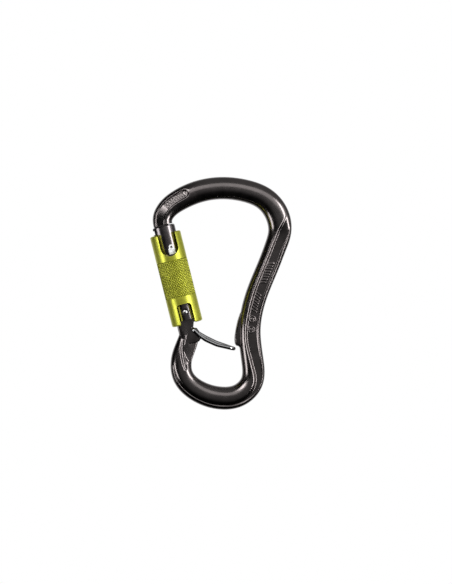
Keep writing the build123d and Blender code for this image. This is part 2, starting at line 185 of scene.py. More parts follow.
# Gate, springs and sleeve, as the CAD has them, by radius or by height in the gate's frame.
# A coil is given by its mean radius, wire and turns; its mesh by steps in a turn and points round the wire.
GATE_LENGTH = 44.1017
GATE_RADIUS = 5.7
GATE_OPENING = 25.0
FOOT_RADIUS = 5.2
FOOT_GAP = 0.3
SHOULDER = 4.35
WAIST_TOP = GATE_LENGTH - 23.0
BORE_TOP = 19.3
PLUNGER_TOP = 9.8
PLUNGER_TRAVEL = 1.0
WASHER_TOP = 10.36
SLEEVE_TRAVEL = 3.5
COIL_GAP = 0.05
GATE_COIL = (1.81, 0.6, 7)
SLEEVE_COIL = (5.6, 0.9, 4)
COIL_STEPS = 44
COIL_ROUND = 12
SLEEVE_BORE = 6.6
SLEEVE_GUIDE = 5.76
SLEEVE_RADIUS = 7.75
SLEEVE_LOW = -6.1
SLEEVE_TOP = GATE_LENGTH - 3.9
SLEEVE_EDGE = 0.8
SLEEVE_POINTS = 460
BORE_EDGE = 0.3
BORE_STEP = 0.05
SLOT_ENDS = (-20, 60)
UPPER_SLOT_HALF = 4.45
UPPER_SLOT_DEPTH = 11.7
LOWER_SLOT_HALF = 3.7
LOWER_SLOT_TOP = 4.1
LOWER_SLOT_CORNER = 1.5

# Diamond knurl in the sleeve's grip band, between two turned steps given by distance and depth
KNURL_LOW = 8.0
KNURL_TOP = GATE_LENGTH - 17.9
KNURL_COUNT = 38
KNURL_PITCH = 1.6
KNURL_CREST = 0.04
KNURL_DEPTH = 0.42
KNURL_FLANK = 0.62
KNURL_ROWS = 118
BAND_STEPS = ((0.2, 0.02), (0.05, 0.26))
BAND_GAP = 0.35

# Plates that finish the forged frame; the fin's outline is in the CAD's frame and the rest in the gate's
FIN_OUTLINE = [
    (10.5, -53.6), (8.3, -57.0), (7.1, -60.5), (6.2, -64.5), (5.6, -68.3), (5.5, -70.6), (5.75, -72.1),
    (6.4, -73.1), (7.4, -73.3), (8.2, -74.2), (10.5, -78.0),
]
FIN_HALF = 2.5
FIN_SOFTEN = 0.9
NECK_OUTLINE = [
    (5.7, -3.0), (5.7, -4.0), (4.9, -12.2), (5.1, -14.2), (3.4, -15.9), (1.0, -16.4), (-2.0, -16.0),
    (-5.3, -12.0), (-5.3, -3.0),
]
NECK_HALF = 3.4
NECK_SOFTEN = 0.6
TONGUE_RADIUS = 4.4
TONGUE_HALF = 1.8
TONGUE_ROOT = [(-4.3, -9.0), (1.8, -9.0), (3.2, -4.5), (4.2, -1.0), (-4.3, -1.0)]
CAM_RISE = 1.0
CAM_STEPS = 12
CAM_END = 37.0

# Room cut from the frame for the gate, the sleeve's prongs and its skirt, by cutters of these half depths
THROUGH = 10.0
WIDE_THROUGH = 15.0
GATE_ROOM = [(-9, -SHOULDER), (9, -SHOULDER), (9, 20), (-9, 20)]
PRONG_ROOM = [
    (3.6, -SHOULDER), (2.1, -8.5), (3.8, -9.2), (4.5, -11.0), (5.2, -14.0), (12.0, -14.0), (12.0, -4.0),
]
SKIRT_RADIUS = SLEEVE_BORE - 0.5
SKIRT_ROOM = [(20, -7.0), (20, 6.4), (SKIRT_RADIUS, 6.4), (SKIRT_RADIUS, -7.0)]
RIVET_HOLE_RADIUS = 1.31
WIRE_HOLE_PLACE = (1.7, -9.2)
WIRE_HOLE_RADIUS = 1.1
WIRE_HOLE_DEPTH = 1.8
WIRE_HOLE_REACH = 2.0

# Keylock nose: a head on a stem, hooked into the gate's top, by distance from the hinge
NOSE_GAP = 0.6
NOSE_TOP = GATE_LENGTH + NOSE_GAP
NOSE_ROOM_LOW = GATE_LENGTH - 12
NOSE_ROOM_SIDE = 10
NOSE_LIP = 1.1
NOSE_CLEARANCE = 0.28
HEAD_HEIGHT = 1.4
HEAD_TOP = GATE_LENGTH - NOSE_LIP - NOSE_CLEARANCE
HEAD_LOW = HEAD_TOP - HEAD_HEIGHT
HEAD_HALF = 2.9
STEM_LOW = HEAD_LOW + 0.1
STEM_TOP = NOSE_TOP + 1.0
STEM_HALF = 1.6
NOSE_LEFT = 4.4
NOSE_RIGHT = 2.6

# Padlock printed on the gate: its middle there, then its body and shackle about that middle
MARK_X = 1.1
MARK_Z = 31.7
MARK_LIFT = 0.03
LOCK_HALF = 1.7
LOCK_LOW = -2.3
LOCK_TOP = 0.75
LOCK_STRAIGHT = 1.325
LOCK_CORNER = 0.3
SHACKLE_RADIUS = 1.0
SHACKLE_FOOT = 0.6
SHACKLE_MIDDLE = 1.35
SHACKLE_LINE = (-0.42, 0.25)


# ---------------------------------------------------------------- small helpers

def blend_between(value, low, high):
    """Smooth step from 0 at low to 1 at high, for arrays."""
    share = np.clip((value - low) / (high - low), 0, 1)
    return share * share * (3 - 2 * share)


def soft_min(a, b, k):
    """Lesser of two heights with a rounded corner about k wide."""
    h = np.clip(0.5 + 0.5 * (b - a) / k, 0, 1)
    return b + (a - b) * h - k * h * (1 - h)


def soft_max(a, b, k):
    """Greater of two heights with a rounded corner about k wide."""
    return -soft_min(-a, -b, k)


def natural_spline(knots, values, at):
    """Natural cubic spline through rows of values, evaluated at the given places."""
    n = len(knots)
    gap = np.diff(knots)
    rise = np.diff(values, axis=0) / gap[:, None]
    system = np.zeros((n, n))
    right = np.zeros((n, values.shape[1]))
    system[0, 0] = system[-1, -1] = 1
    for i in range(1, n - 1):
        system[i, i - 1:i + 2] = gap[i - 1], 2 * (gap[i - 1] + gap[i]), gap[i]
        right[i] = 6 * (rise[i] - rise[i - 1])
    bend = np.linalg.solve(system, right)
    i = np.clip(np.searchsorted(knots, at) - 1, 0, n - 2)
    h = gap[i][:, None]
    a = (knots[i + 1] - at)[:, None] / h
    b = 1 - a
    line = a * values[i] + b * values[i + 1]
    return line + ((a**3 - a) * bend[i] + (b**3 - b) * bend[i + 1]) * h**2 / 6


def line_along(s, points):
    """Column of values along the frame, smoothly between given (s, value) points."""
    knots, values = np.array(points, float).T
    return natural_spline(knots, values[:, None], np.clip(s, knots[0], knots[-1]))


def mesh_object(name, verts, faces, smooth=True):
    """Object from vertices in metres and faces."""
    mesh = bpy.data.meshes.new(name)
    mesh.from_pydata([tuple(v) for v in verts], [], [tuple(f) for f in faces])
    mesh.update()
    mesh.polygons.foreach_set("use_smooth", [smooth] * len(mesh.polygons))
    made = bpy.data.objects.new(name, mesh)
    bpy.context.scene.collection.objects.link(made)
    return made


def face_outwards(piece):
    """Turn every face outwards."""
    work = bmesh.new()
    work.from_mesh(piece.data)
    bmesh.ops.recalc_face_normals(work, faces=work.faces)
    work.to_mesh(piece.data)
    work.free()


def smooth_by_angle(piece, degrees_limit):
    """Smooth shading with creases kept sharp."""
    piece.data.polygons.foreach_set("use_smooth", [True] * len(piece.data.polygons))
    piece.data.set_sharp_from_angle(angle=radians(degrees_limit))


def tube_faces(rows, columns, closed_rows=False):
    """Quads of a grid whose columns close on themselves."""
    r = np.arange(rows if closed_rows else rows - 1)[:, None]
    c = np.arange(columns)[None, :]
    r2, c2 = (r + 1) % rows, (c + 1) % columns
    quads = np.stack([r * columns + c, r * columns + c2, r2 * columns + c2, r2 * columns + c], -1)
    return quads.reshape(-1, 4)


def closed_tube(name, grid):
    """Closed object from rings of points; each end is a fan to its middle."""
    rows, columns = grid.shape[:2]
    verts = grid.reshape(-1, 3)
    faces = [tuple(f) for f in tube_faces(rows, columns)]
    first, last = len(verts), len(verts) + 1
    verts = np.vstack([verts, grid[0].mean(0), grid[-1].mean(0)])
    for c in range(columns):
        after = (c + 1) % columns
        faces.append((c, first, after))
        faces.append(((rows - 1) * columns + c, (rows - 1) * columns + after, last))
    made = mesh_object(name, verts, faces)
    face_outwards(made)
    return made


def prism(points, half, matrix=GATE_FRAME, middle=0.0, soften=0.0):
    """Solid plate of an x, z outline and a half thickness, with softened face edges."""
    count = len(points)
    verts = [(x, middle + side * half, z) for side in (-1, 1) for x, z in points]
    faces = [tuple(range(count)), tuple(range(2 * count - 1, count - 1, -1))]
    faces += [(i, (i + 1) % count, count + (i + 1) % count, count + i) for i in range(count)]
    made = mesh_object("tool", verts, faces, smooth=False)
    face_outwards(made)
    if soften:
        work = bmesh.new()
        work.from_mesh(made.data)
        rim = [e for e in work.edges if e.verts[0].co.y == e.verts[1].co.y]
        bmesh.ops.bevel(work, geom=rim, offset=soften, segments=4, profile=0.5, affect="EDGES")
        work.to_mesh(made.data)
        work.free()
    made.data.transform(Matrix.Scale(MM, 4))
    made.data.transform(matrix)
    return made


def disc(radius, half, place=(0.0, 0.0), middle=0.0, segments=128):
    """Solid disc about an axis along Y, in the gate's frame."""
    turns = [2 * pi * k / segments for k in range(segments)]
    points = [(place[0] + radius * cos(a), place[1] + radius * sin(a)) for a in turns]
    return prism(points, half, middle=middle)


def sector(inner, outer, left, right, half, segments=48):
    """Curved block about the hinge axis between two radii, from x = -left to x = right near the top."""
    middle = (inner + outer) / 2
    low, high = -left / middle, right / middle
    angles = [low + (high - low) * k / segments for k in range(segments + 1)]
    points = [(outer * sin(a), outer * cos(a)) for a in angles]
    points += [(inner * sin(a), inner * cos(a)) for a in reversed(angles)]
    return prism(points, half)


def revolved(name, rings, segments=192):
    """Closed ring about the gate's axis from (radius, height) rings; a radius may vary round the turn."""
    turn = np.linspace(0, 2 * pi, segments, endpoint=False)[:, None]
    flat = np.ones((segments, 1))
    radius = np.hstack([r * flat for r, _ in rings])
    height = np.hstack([h * flat for _, h in rings])
    grid = np.stack([radius * np.cos(turn), radius * np.sin(turn), height], -1)
    made = mesh_object(name, grid.reshape(-1, 3) * MM, tube_faces(segments, len(rings), closed_rows=True))
    made.data.transform(GATE_FRAME)
    face_outwards(made)
    return made


def combine(piece, tool, operation):
    """Apply one boolean and drop the tool."""
    step = piece.modifiers.new("combine", "BOOLEAN")
    step.operation, step.object, step.solver = operation, tool, "MANIFOLD"
    bpy.context.view_layer.update()
    ready = piece.evaluated_get(bpy.context.evaluated_depsgraph_get())
    made = bpy.data.meshes.new_from_object(ready)
    piece.modifiers.clear()
    old = piece.data
    piece.data = made
    bpy.data.meshes.remove(old)
    bpy.data.objects.remove(tool)


# ---------------------------------------------------------------- faces of the forged frame

def region_distance(s, n, region, corner):
    """Signed distance to a rounded rectangle in (s, n), negative inside."""
    low_s, high_s, low_n, high_n = region
    ds = np.abs(s - (low_s + high_s) / 2) - (high_s - low_s) / 2 + corner
    dn = np.abs(n - (low_n + high_n) / 2) - (high_n - low_n) / 2 + corner
    outside = np.hypot(np.maximum(ds, 0), np.maximum(dn, 0))
    return outside + np.minimum(np.maximum(ds, dn), 0) - corner


def ring_mark(s, n, middle_s, ring):
    """Raised ring of a radius and a line width, 1 on the line and 0 away from it."""
    radius, width = ring
    away = np.abs(np.hypot(s - middle_s, n - RING_N) - radius)
    low, high = RING_EDGE
    return 1 - blend_between(away, width * low, width * high)


def dash_marks(s, n, row, pitch, span):
    """Row of whole leaning dashes, a plain grip pattern, 1 on a dash and 0 between them."""
    first_s, last_s, lean = row
    low_n, high_n = span
    across = np.clip((n - low_n) / (high_n - low_n), 0, 1)
    phase = (s - first_s + lean * (across - 0.5)) / pitch
    number = np.round(phase)
    whole = (number >= 0) & (number <= (last_s - first_s) // pitch)
    line = 1 - blend_between(np.abs(phase - number) * pitch, *DASH_EDGE)
    low_tip = blend_between(n, low_n - DASH_TIP_OUT, low_n + DASH_TIP_IN)
    high_tip = 1 - blend_between(n, high_n - DASH_TIP_IN, high_n + DASH_TIP_OUT)
    return line * whole * low_tip * high_tip


def recess(floor, distance, inset, slope, rounding):
    """Height of a floor whose walls rise at a slope, from inset inside the place where distance is 0."""
    return soft_max(floor + 0 * distance, floor + slope * (distance + inset), rounding)


def spine_cut(s, n):
    """Height that the recess down the spine leaves, with the marks raised in it."""
    inner, outer, floor = (line_along(s[:, 0], p) for p in (SPINE_INNER, SPINE_OUTER, SPINE_FLOOR))
    marks = [dash_marks(s, n, row, DASH_PITCH, DASH_SPAN) for row in DASH_ROWS]
    marks += [ring_mark(s, n, middle, ring) for middle in RING_PLACES for ring in RING_LINES]
    wall = np.maximum(inner - n, n - outer)
    cut = recess(floor, wall, SPINE_FOOT, WALL_SLOPE, SPINE_FOOT_ROUND)
    cut = cut + MARK_HEIGHT * np.maximum.reduce(marks)
    active = blend_between(s, *SPINE_START) * (1 - blend_between(s, *SPINE_END))
    return cut + (1 - active) * SPINE_LIFT


def badge_cut(s, n):
    """Height that the sunk badge leaves, with its raised pad and the dashes on the pad."""
    floor = line_along(s[:, 0], BADGE_FLOOR) - BADGE_TILT * (n - BADGE_LEVEL_N)
    pad = region_distance(s, n, PAD_REGION, PAD_CORNER)
    raised = PAD_RISE * (1 - blend_between(pad, *PAD_EDGE))
    sunk = PAD_SINK * (1 - blend_between(pad, *PAD_INSIDE))
    pattern = PAD_SINK * dash_marks(s, n, PAD_DASHES, PAD_DASH_PITCH, PAD_DASH_SPAN)
    badge = region_distance(s, n, BADGE_REGION, BADGE_CORNER)
    cut = recess(floor, badge, BADGE_FOOT, WALL_SLOPE, BADGE_FOOT_ROUND) + raised - sunk + pattern
    return cut + BADGE_LIFT * blend_between(s, *BADGE_END)


def groove_cut(s, n):
    """Height that the groove at the small end leaves; it runs out in a round end."""
    middle, floor = (line_along(s[:, 0], p) for p in (GROOVE_MIDDLE, GROOVE_FLOOR))
    away = np.hypot(n - middle, np.maximum(s - GROOVE_END_S, 0))
    cut = recess(floor, away, -GROOVE_HALF, GROOVE_SLOPE, GROOVE_FOOT_ROUND)
    return cut + GROOVE_LIFT * (1 - blend_between(s, *GROOVE_START))


def facet_cut(s, n):
    """Height that the flat facet inside the small end leaves."""
    edge = line_along(s[:, 0], FACET_EDGE)
    tilted = FACET_TILT * np.minimum(n - FACET_FOLD_N, 0)
    cut = FACET_HEIGHT + tilted + FACET_SLOPE * np.maximum(n - edge, 0)
    return cut + FACET_LIFT * (1 - blend_between(s, *FACET_START))


def face_height(s, n, plain):
    """Height of the face from mid thickness, with all that is worked into it."""
    height = soft_min(plain, spine_cut(s, n), SPINE_RIM_ROUND)
    height = soft_min(height, badge_cut(s, n), BADGE_RIM_ROUND)
    height = soft_min(height, groove_cut(s, n), GROOVE_RIM_ROUND)
    return soft_min(height, facet_cut(s, n), FACET_RIM_ROUND)


# ---------------------------------------------------------------- forged frame

def stretched_stations():
    """Stations at the frame's real size, the neck's included."""
    span_x = STATIONS[:, 0].max() - STATIONS[:, 0].min()
    top = STATIONS[APEX_STATION, 1]
    span_z = top - STATIONS[:, 1].min()
    out = STATIONS.copy()
    out[:, 0] *= (FRAME_SIZE[0] - BASKET_STOCK) / span_x
    out[:, 1] = BASKET_STOCK / 2 + (out[:, 1] - top) * (FRAME_SIZE[1] - BASKET_STOCK) / span_z
    neck = []
    for x, z, width, depth in NECK_STATIONS:
        place = GATE_FRAME @ Vector((x * MM, 0, z * MM)) / MM
        neck.append((place.x, place.z, width, depth))
    return np.vstack([out, neck])


def length_along(points):
    """Distance along a line of (x, z) points, from its first."""
    return np.concatenate([[0], np.cumsum(np.hypot(*np.diff(points, axis=0).T))])


def row_places(total):
    """Places of the rows along the frame, closer together under the raised marks."""
    places, at = [], 0.0
    while at < total:
        places.append(at)
        marked = any(low < at < high for low, high in MARKED_SPANS)
        at += MARKED_STEP if marked else PLAIN_STEP
    places[-1] = total
    return np.array(places)


def frame_grid():
    """Rows along the frame, with their stations and outward normals."""
    stations = stretched_stations()
    knots = length_along(stations[:, :2])
    fine = natural_spline(knots, stations, np.linspace(0, knots[-1], CENTRELINE_SAMPLES))
    length = length_along(fine[:, :2])
    s = row_places(length[-1])
    place = np.stack([np.interp(s, length, column) for column in fine.T], 1)
    run = np.gradient(place[:, :2], axis=0)
    run /= np.linalg.norm(run, axis=1)[:, None]
    normal = np.stack([-run[:, 1], run[:, 0]], 1)
    return s, place, normal


def frame_surface():
    """Grid of the forged frame in metres: points round the stock at each place along it."""
    s, place, normal = frame_grid()
    angle = np.linspace(0, 2 * pi, POINTS_ROUND, endpoint=False)
    angle = angle - CORNER_CROWDING * np.sin(4 * angle)
    power = 2 / EDGE_ROUNDNESS
    across = np.sign(np.cos(angle)) * np.abs(np.cos(angle)) ** power
    through = np.sign(np.sin(angle)) * np.abs(np.sin(angle)) ** power
    n = place[:, 2:3] / 2 * across[None, :]
    y = place[:, 3:4] / 2 * through[None, :]
    height = face_height(s[:, None] + 0 * n, n, np.abs(y))
    y = np.sign(y) * np.minimum(np.abs(y), height)
    x = place[:, 0:1] + n * normal[:, 0:1]
    z = place[:, 1:2] + n * normal[:, 1:2]
    return np.stack([x, y, z], -1) * MM


def cam_outline():
    """Cam on the tongue, which rises as the gate opens and then stays level."""
    points = [(0, TONGUE_RADIUS)]
    for k in range(1, CAM_STEPS + 1):
        turn = radians(GATE_OPENING) * k / CAM_STEPS
        radius = TONGUE_RADIUS + CAM_RISE * k / CAM_STEPS
        points.append((radius * sin(turn), radius * cos(turn)))
    end, radius = radians(CAM_END), TONGUE_RADIUS + CAM_RISE
    return points + [(radius * sin(end), radius * cos(end)), (0, 0)]


def make_frame():
    """Forged frame: swept stock with its face features, fin, neck, tongue, nose hook and holes."""
    body = closed_tube("forged_frame", frame_surface())
    combine(body, prism(FIN_OUTLINE, FIN_HALF, Matrix.Identity(4), soften=FIN_SOFTEN), "UNION")
    combine(body, prism(NECK_OUTLINE, NECK_HALF, soften=NECK_SOFTEN), "UNION")
    combine(body, prism(GATE_ROOM, THROUGH), "DIFFERENCE")
    combine(body, disc(FOOT_RADIUS + FOOT_GAP, THROUGH), "DIFFERENCE")
    combine(body, prism(PRONG_ROOM, THROUGH), "DIFFERENCE")
    combine(body, revolved("tool", SKIRT_ROOM), "DIFFERENCE")
    nose_room = sector(NOSE_ROOM_LOW, NOSE_TOP, NOSE_ROOM_SIDE, NOSE_ROOM_SIDE, WIDE_THROUGH)
    combine(body, nose_room, "DIFFERENCE")
    combine(body, sector(STEM_LOW, STEM_TOP, NOSE_LEFT, NOSE_RIGHT, STEM_HALF), "UNION")
    combine(body, sector(HEAD_LOW, HEAD_TOP, NOSE_LEFT, NOSE_RIGHT, HEAD_HALF), "UNION")
    combine(body, prism(TONGUE_ROOT, TONGUE_HALF), "UNION")
    combine(body, disc(TONGUE_RADIUS, TONGUE_HALF), "UNION")
    combine(body, prism(cam_outline(), TONGUE_HALF), "UNION")
    combine(body, disc(RIVET_HOLE_RADIUS, THROUGH, segments=64), "DIFFERENCE")
    for side in (-1, 1):
        middle = side * (NECK_HALF - WIRE_HOLE_DEPTH + WIRE_HOLE_REACH)
        hole = disc(WIRE_HOLE_RADIUS, WIRE_HOLE_REACH, WIRE_HOLE_PLACE, middle=middle, segments=48)
        combine(body, hole, "DIFFERENCE")
    smooth_by_angle(body, degrees_limit=42)
    return body


# ---------------------------------------------------------------- sleeve, springs and printed mark

def knurled_radius(turn, height):
    """Outer radius of the sleeve in its grip band: a diamond knurl with flat-topped points."""
    a = turn * KNURL_COUNT / (2 * pi)
    b = height / KNURL_PITCH
    first = np.abs(((a + b) % 1) - 0.5) * 2
    second = np.abs(((a - b) % 1) - 0.5) * 2
    groove = np.minimum(first, second)
    return SLEEVE_RADIUS - KNURL_CREST - KNURL_DEPTH * (1 - blend_between(groove, 0.0, KNURL_FLANK))


def round_slot(half, middle, top):
    """Outline of a slot with a full-round bottom."""
    turn = np.linspace(pi, 2 * pi, 49)
    return [(-half, top)] + [(half * cos(a), middle + half * sin(a)) for a in turn] + [(half, top)]


def square_slot(half, top, corner, low):
    """Outline of a slot with a flat top and two rounded corners."""
    turn = np.linspace(0, pi / 2, 13)
    left = [(-half + corner - corner * cos(a), top - corner + corner * sin(a)) for a in turn]
    right = [(half - corner + corner * sin(a), top - corner + corner * cos(a)) for a in turn]
    return [(-half, low)] + left + right + [(half, low)]


def make_sleeve():
    """Locking sleeve: turned tube with rolled ends, a diamond grip band and four slots."""
    turn = np.linspace(0, 2 * pi, SLEEVE_POINTS, endpoint=False)[:, None]
    quarter = np.linspace(0, pi / 2, 8)
    rolled = [(SLEEVE_RADIUS - SLEEVE_EDGE * (1 - sin(a)), SLEEVE_EDGE * (1 - cos(a))) for a in quarter]
    lower = np.linspace(SLEEVE_LOW + SLEEVE_EDGE + 1, KNURL_LOW - BAND_GAP, 10)
    upper = np.linspace(KNURL_TOP + BAND_GAP, SLEEVE_TOP - SLEEVE_EDGE - 1, 8)
    grip = np.linspace(KNURL_LOW, KNURL_TOP, KNURL_ROWS)
    rings = [(radius, SLEEVE_LOW + up) for radius, up in rolled]
    rings += [(SLEEVE_RADIUS, height) for height in lower]
    rings += [(SLEEVE_RADIUS - depth, KNURL_LOW - away) for away, depth in BAND_STEPS]
    rings += [(knurled_radius(turn, height), height) for height in grip]
    rings += [(SLEEVE_RADIUS - depth, KNURL_TOP + away) for away, depth in reversed(BAND_STEPS)]
    rings += [(SLEEVE_RADIUS, height) for height in upper]
    rings += [(radius, SLEEVE_TOP - up) for radius, up in reversed(rolled)]
    rings += [(SLEEVE_GUIDE + BORE_EDGE, SLEEVE_TOP), (SLEEVE_GUIDE, SLEEVE_TOP - BORE_EDGE)]
    rings += [(SLEEVE_GUIDE, WAIST_TOP), (SLEEVE_BORE, WAIST_TOP - BORE_STEP)]
    rings += [(SLEEVE_BORE, SLEEVE_LOW + BORE_EDGE), (SLEEVE_BORE + BORE_EDGE, SLEEVE_LOW)]
    body = revolved("knurled_sleeve", rings, SLEEVE_POINTS)
    upper_slot = round_slot(UPPER_SLOT_HALF, SLEEVE_TOP - UPPER_SLOT_DEPTH + UPPER_SLOT_HALF, SLOT_ENDS[1])
    lower_slot = square_slot(LOWER_SLOT_HALF, LOWER_SLOT_TOP, LOWER_SLOT_CORNER, SLOT_ENDS[0])
    for slot in (upper_slot, lower_slot):
        combine(body, prism(slot, WIDE_THROUGH), "DIFFERENCE")
    smooth_by_angle(body, degrees_limit=50)
    return body


def make_coil(name, spring, low, high):
    """Spring of a mean radius, a wire and a number of turns about the gate's axis, between two heights."""
    radius, wire, turns = spring
    turn = np.linspace(0, 2 * pi * turns, COIL_STEPS * turns + 1)[:, None]
    section = np.linspace(0, 2 * pi, COIL_ROUND, endpoint=False)[None, :]
    out = radius + wire / 2 * np.cos(section)
    height = low + wire / 2 + (high - low - wire) * turn / turn[-1] + wire / 2 * np.sin(section)
    grid = np.stack([out * np.cos(turn), out * np.sin(turn), height], -1)
    made = closed_tube(name, grid * MM)
    made.data.transform(GATE_FRAME)
    return made


def patch_on_gate(rows):
    """Vertices and faces of a thin closed patch on the gate's front, from rows of (across, height) points."""
    grid = np.array(rows, float)
    count, width = grid.shape[:2]
    under = count * width
    turn = grid[..., 0] / GATE_RADIUS
    sides = []
    for radius in (GATE_RADIUS + MARK_LIFT, GATE_RADIUS - MARK_LIFT):
        sides.append(np.stack([radius * np.sin(turn), -radius * np.cos(turn), grid[..., 1]], -1))
    verts = np.vstack([side.reshape(-1, 3) for side in sides])
    faces = []
    for r in range(count - 1):
        for c in range(width - 1):
            a, b = r * width + c, (r + 1) * width + c
            faces.append((a, a + 1, b + 1, b))
            faces.append((under + a, under + b, under + b + 1, under + a + 1))
    rim = list(range(width)) + [r * width + width - 1 for r in range(1, count)]
    rim += [(count - 1) * width + c for c in range(width - 2, -1, -1)]
    rim += [r * width for r in range(count - 2, 0, -1)]
    for a, b in zip(rim, rim[1:] + rim[:1]):
        faces.append((a, under + a, under + b, b))
    return verts, faces


def make_padlock_mark():
    """Printed closed padlock, the usual sign for a locking gate."""
    middle = (LOCK_LOW + LOCK_TOP) / 2
    body = []
    for v in np.linspace(LOCK_LOW, LOCK_TOP, 13):
        half = LOCK_HALF - LOCK_CORNER * max(0, abs(v - middle) - LOCK_STRAIGHT)
        body.append([(MARK_X + half * u, MARK_Z + v) for u in np.linspace(-1, 1, 13)])
    bow = [(SHACKLE_RADIUS * cos(a), SHACKLE_RADIUS * sin(a)) for a in np.linspace(0, pi, 21)]
    arc = [(x, SHACKLE_MIDDLE + z) for x, z in bow]
    arc = [(SHACKLE_RADIUS, SHACKLE_FOOT)] + arc + [(-SHACKLE_RADIUS, SHACKLE_FOOT)]
    shackle = []
    for x, z in arc:
        away_z = max(z - SHACKLE_MIDDLE, 0)
        size = hypot(x, away_z)
        line = [(x + x / size * w, z + away_z / size * w) for w in np.linspace(*SHACKLE_LINE, 5)]
        shackle.append([(MARK_X + px, MARK_Z + pz) for px, pz in line])
    verts, faces = patch_on_gate(body)
    more_verts, more_faces = patch_on_gate(shackle)
    faces += [tuple(i + len(verts) for i in f) for f in more_faces]
    made = mesh_object("padlock_mark", np.vstack([verts, more_verts]) * MM, faces)
    made.data.transform(GATE_FRAME)
    face_outwards(made)
    smooth_by_angle(made, degrees_limit=30)
    return made


# ---------------------------------------------------------------- materials

RANGE_SOCKETS = ("From Min", "From Max", "To Min", "To Max")


class Nodes:
    """Short way to write one material's nodes."""

    def __init__(self, name):
        self.material = bpy.data.materials.new(name)
        self.material.use_nodes = True
        self.tree = self.material.node_tree
        self.shader = self.tree.nodes["Principled BSDF"]
        self.place = self.add("ShaderNodeTexCoord").outputs["Object"]

    def add(self, kind, links=None):
        """New node, with its inputs linked by name or place."""
        node = self.tree.nodes.new(kind)
        for key, value in (links or {}).items():
            self.tree.links.new(value, node.inputs[key])
        return node

    def noise(self, scale, detail=3.0, stretch=(1, 1, 1)):
        """Noise of about 0 to 1 over the piece's own coordinates."""
        spread = self.add("ShaderNodeMapping", {"Vector": self.place})
        spread.inputs["Scale"].default_value = stretch
        made = self.add("ShaderNodeTexNoise", {"Vector": spread.outputs["Vector"]})
        made.inputs["Scale"].default_value = scale
        made.inputs["Detail"].default_value = detail
        return made.outputs["Fac"]

    def between(self, value, from_low, from_high, low, high):
        """Value moved from one range to another, and kept inside it."""
        node = self.add("ShaderNodeMapRange", {"Value": value})
        for key, number in zip(RANGE_SOCKETS, (from_low, from_high, low, high)):
            node.inputs[key].default_value = number
        return node.outputs["Result"]

    def mix(self, share, first, second):
        """Mix of two colours, each an (r, g, b) or a node's output."""
        node = self.add("ShaderNodeMix", {"Factor": share})
        node.data_type = "RGBA"
        for socket, colour in zip((node.inputs[6], node.inputs[7]), (first, second)):
            if isinstance(colour, tuple):
                socket.default_value = (*colour, 1)
            else:
                self.tree.links.new(colour, socket)
        return node.outputs[2]

    def bump(self, height, distance, strength, after=None):
        """Bumped normal, on top of another where one is given."""
        links = {"Height": height}
        if after is not None:
            links["Normal"] = after
        node = self.add("ShaderNodeBump", links)
        node.inputs["Distance"].default_value = distance
        node.inputs["Strength"].default_value = strength
        return node.outputs["Normal"]

    def pointiness(self):
        """About 0.5 on flat faces, more on convex edges and less in hollows."""
        return self.add("ShaderNodeNewGeometry").outputs["Pointiness"]

    def scuffs_and_edge_highlight(self, low, high):
        """1 on convex edges, which turn lighter for scuffing and for a painted edge highlight, broken up by
        noise.
        """
        edge = self.between(self.pointiness(), low, high, 0, 1)
        patchy = self.between(self.noise(420, 4), 0.42, 0.62, 0.15, 1)
        node = self.add("ShaderNodeMath", {0: edge, 1: patchy})
        node.operation = "MULTIPLY"
        return node.outputs[0]

    def finish(self, **values):
        """Material, with each shader input linked to an output or set to a number or colour."""
        for key, value in values.items():
            socket = self.shader.inputs[key.replace("_", " ")]
            if hasattr(value, "node"):
                self.tree.links.new(value, socket)
            elif isinstance(value, tuple):
                socket.default_value = (*value, 1)
            else:
                socket.default_value = value
        return self.material


def anodised(name, dark, light, rough, scuff_and_highlight_colour, edges, grain, metallic=1.0, painted_groove_shade=None):
    """Polished and anodised aluminium: cloudy colour, uneven gloss, faint scratches, convex edges lighter for
    scuffing and a painted highlight, and where given, painted shade in the hollows.
    """
    n = Nodes(name)
    cloudy = n.between(n.noise(95, 4), 0.35, 0.68, 0, 1)
    colour = n.mix(cloudy, dark, light)
    # Painted shade: hollows such as the knurl's grooves are darkened towards the given dark colour
    if painted_groove_shade:
        colour = n.mix(n.between(n.pointiness(), 0.42, 0.49, 0.85, 0), colour, painted_groove_shade)
    # Convex edges lighter: partly scuffing, partly a painted highlight along the ridges
    scuffed_and_highlit = n.scuffs_and_edge_highlight(*edges)
    colour = n.mix(scuffed_and_highlit, colour, scuff_and_highlight_colour)
    uneven = n.between(n.noise(260, 5), 0.3, 0.7, *rough)
    scratches = n.noise(900, 2, (1, 1, 0.06))
    normal = n.bump(n.noise(2600, 2), 0.000012, 0.35 * grain)
    normal = n.bump(scratches, 0.00001, 0.5 * grain, normal)
    return n.finish(Base_Color=colour, Metallic=metallic, Roughness=uneven, Normal=normal)


def steel(name, dark, light, rough, stretch=(1, 1, 1)):
    """Bare stainless or spring steel with drawing marks."""
    n = Nodes(name)
    colour = n.mix(n.between(n.noise(180, 4), 0.35, 0.65, 0, 1), dark, light)
    uneven = n.between(n.noise(500, 4, stretch), 0.3, 0.7, *rough)
    normal = n.bump(n.noise(1500, 3, stretch), 0.000012, 0.5)
    return n.finish(Base_Color=colour, Metallic=1.0, Roughness=uneven, Normal=normal)


def print_ink():
    """White pad-printed ink, a little scuffed."""
    n = Nodes("white_ink")
    colour = n.mix(n.between(n.noise(1400, 4), 0.56, 0.7, 0, 1), (0.86, 0.87, 0.88), (0.42, 0.42, 0.43))
    uneven = n.between(n.noise(900, 3), 0.3, 0.7, 0.4, 0.6)
    return n.finish(Base_Color=colour, Roughness=uneven, Normal=n.bump(n.noise(2400, 2), 0.000006, 0.4))


